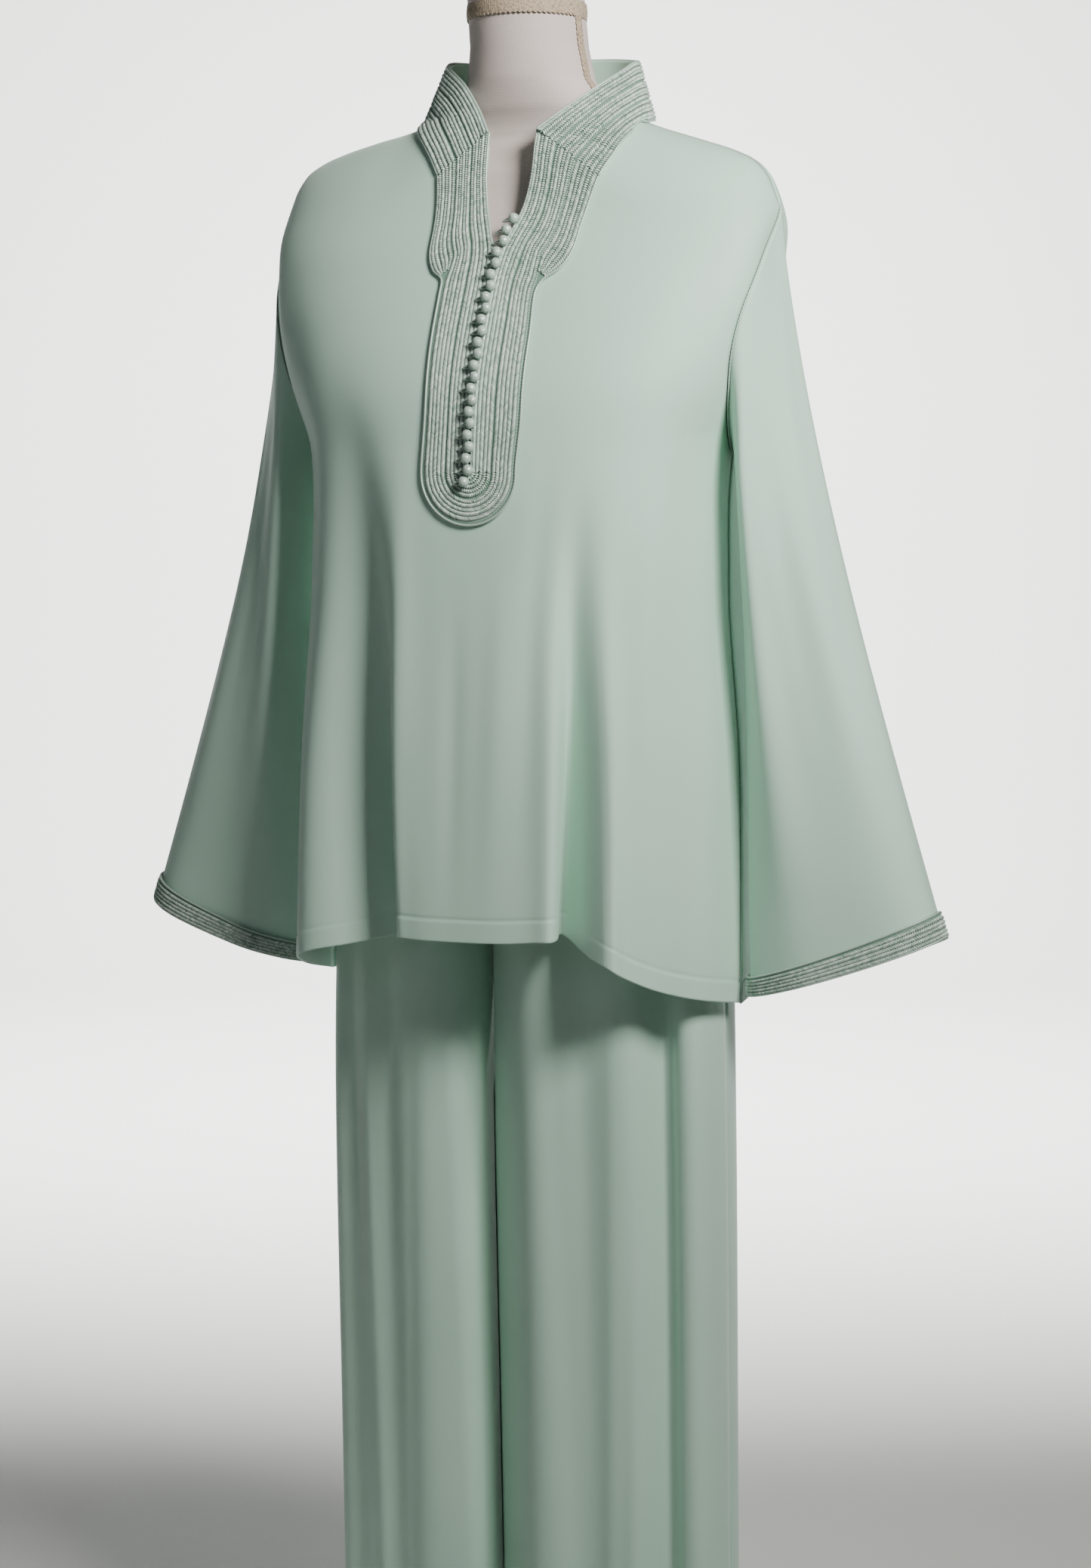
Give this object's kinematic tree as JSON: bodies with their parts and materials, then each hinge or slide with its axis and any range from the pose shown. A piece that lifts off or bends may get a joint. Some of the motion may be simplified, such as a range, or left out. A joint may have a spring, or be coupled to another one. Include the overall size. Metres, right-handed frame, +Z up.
{
  "type": "jabador on dress form",
  "caption": "tunic with stand collar, braided front band, knotted buttons and flared sleeves, over straight wide trousers, worn on a limbless dress form on a pole stand",
  "frame": {"origin": "centre of the round base's underside, on the floor", "axes": "+Z up, the front of the garment faces -Y, +X towards the wearer's left"},
  "size_m": [0.744, 0.34, 1.54],
  "materials": {
    "satin": "matt-backed satin crepe, pale mint",
    "braid": "shiny braided cord in mint and silver",
    "cord": "knotted shiny cord",
    "jersey": "plain woven cover, greyish pink",
    "steel": "brushed"
  },
  "bodies": {
    "root": {"tunic_front": "satin", "tunic_back": "satin", "sleeve_left": "satin", "sleeve_right": "satin", "cuff_left": "braid", "cuff_right": "braid", "collar": "braid", "placket": "braid", "button_01": "cord", "button_02": "cord", "button_03": "cord", "button_04": "cord", "button_05": "cord", "button_06": "cord", "button_07": "cord", "button_08": "cord", "button_09": "cord", "button_10": "cord", "button_11": "cord", "button_12": "cord", "button_13": "cord", "button_14": "cord", "button_15": "cord", "button_16": "cord", "button_17": "cord", "button_18": "cord", "button_19": "cord", "button_20": "cord", "button_21": "cord", "button_22": "cord", "button_23": "cord", "button_24": "cord", "trouser_front_left": "satin", "trouser_front_right": "satin", "trouser_back_left": "satin", "trouser_back_right": "satin", "waistband": "satin", "form_torso": "jersey", "stand_pole": "steel", "stand_base": "steel"}
  },
  "joints": []
}
